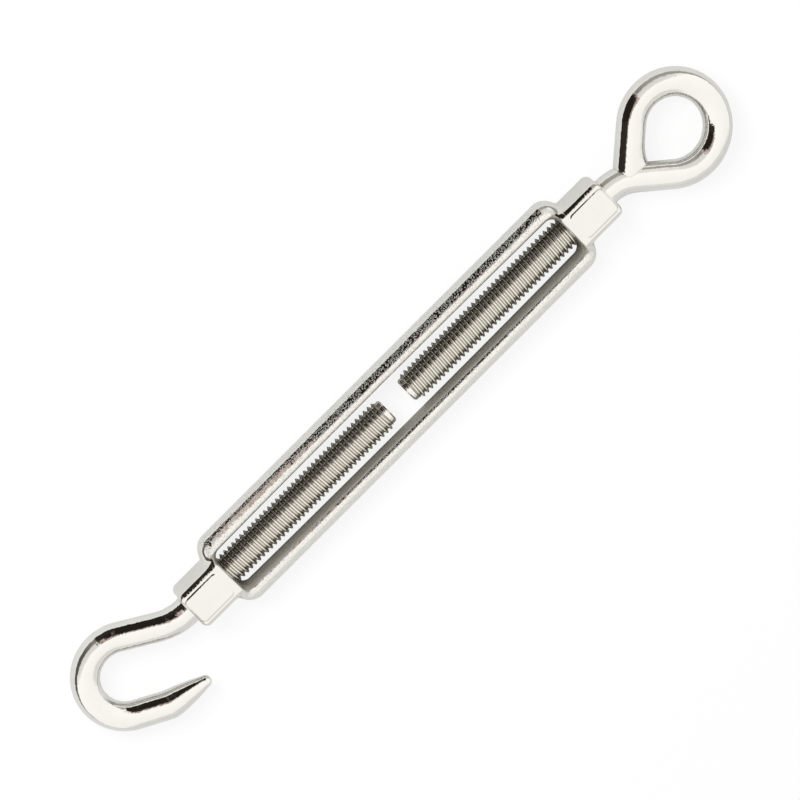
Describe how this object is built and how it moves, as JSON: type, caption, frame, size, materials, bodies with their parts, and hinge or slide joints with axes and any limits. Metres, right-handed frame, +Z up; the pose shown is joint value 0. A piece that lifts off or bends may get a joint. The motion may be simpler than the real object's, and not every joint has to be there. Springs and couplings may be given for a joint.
{
  "type": "rigging turnbuckle",
  "caption": "Open-frame rigging turnbuckle: a hook on a right-hand screw and an eye on a left-hand screw take up slack as they turn in the frame's hubs.",
  "frame": {"origin": "bottom centre of the bounding box, on the flat surface that the hubs' backs lie on", "axes": "+X along the screws, from the hook to the eye; +Y across the frame in its own plane; +Z up, out of the hubs' fronts"},
  "size_m": [0.252, 0.0372, 0.014],
  "materials": {
    "cast_steel": "polished stainless steel casting",
    "drawn_steel": "polished stainless steel bar",
    "cut_steel": "turned stainless steel"
  },
  "bodies": {
    "frame": {"frame": "cast_steel"},
    "hook_travel": {"hook_rod_point": "cut_steel"},
    "hook_rod": {"hook_rod": "drawn_steel"},
    "eye_travel": {"eye_rod_point": "cut_steel"},
    "eye_rod": {"eye_rod": "drawn_steel"}
  },
  "joints": [
    {"name": "hook_feed", "type": "slide", "parent": "frame", "child": "hook_travel", "axis": [-1, 0, 0], "range_m": [0, 0.06032]},
    {"name": "hook_turn", "type": "hinge", "parent": "hook_travel", "child": "hook_rod", "pos_m": [-0.07749, 0.00209, 0.00683], "axis": [-1, 0, 0], "range_deg": [0, 13700]},
    {"name": "eye_feed", "type": "slide", "parent": "frame", "child": "eye_travel", "axis": [1, 0, 0], "range_m": [0, 0.06032]},
    {"name": "eye_turn", "type": "hinge", "parent": "eye_travel", "child": "eye_rod", "pos_m": [0.07571, 0.00209, 0.00683], "axis": [-1, 0, 0], "range_deg": [0, 13700]}
  ],
  "couplings": [
    {"joint": "hook_turn", "follows": "hook_feed", "rad_per_m": 3957.9},
    {"joint": "eye_turn", "follows": "eye_feed", "rad_per_m": 3957.9}
  ]
}
